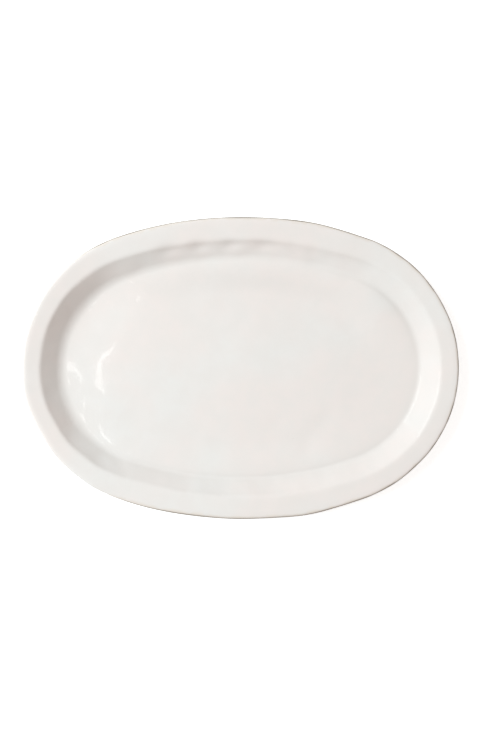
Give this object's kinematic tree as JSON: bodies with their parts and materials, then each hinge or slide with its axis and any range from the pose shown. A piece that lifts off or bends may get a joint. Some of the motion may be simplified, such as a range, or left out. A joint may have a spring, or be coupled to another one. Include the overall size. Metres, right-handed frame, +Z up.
{
  "type": "oval serving platter",
  "caption": "Rimmed oval serving platter with a flat well, a sloping wall, a broad near-level rim with bare clay at the lip, and an oval foot ring underneath.",
  "frame": {"origin": "middle of the oval, on the table that the foot ring stands on", "axes": "+X along the platter's length, +Y across its width, +Z up out of the well"},
  "size_m": [0.406, 0.281, 0.0274],
  "materials": {
    "white_glaze": "gloss, warm white, faintly mottled",
    "bare_clay": "matte fired stoneware, grey-brown"
  },
  "bodies": {
    "root": {"clay_body": "bare_clay", "foot_ring": "bare_clay", "glaze_face": "white_glaze", "glaze_back": "white_glaze", "glaze_base": "white_glaze"}
  },
  "joints": []
}
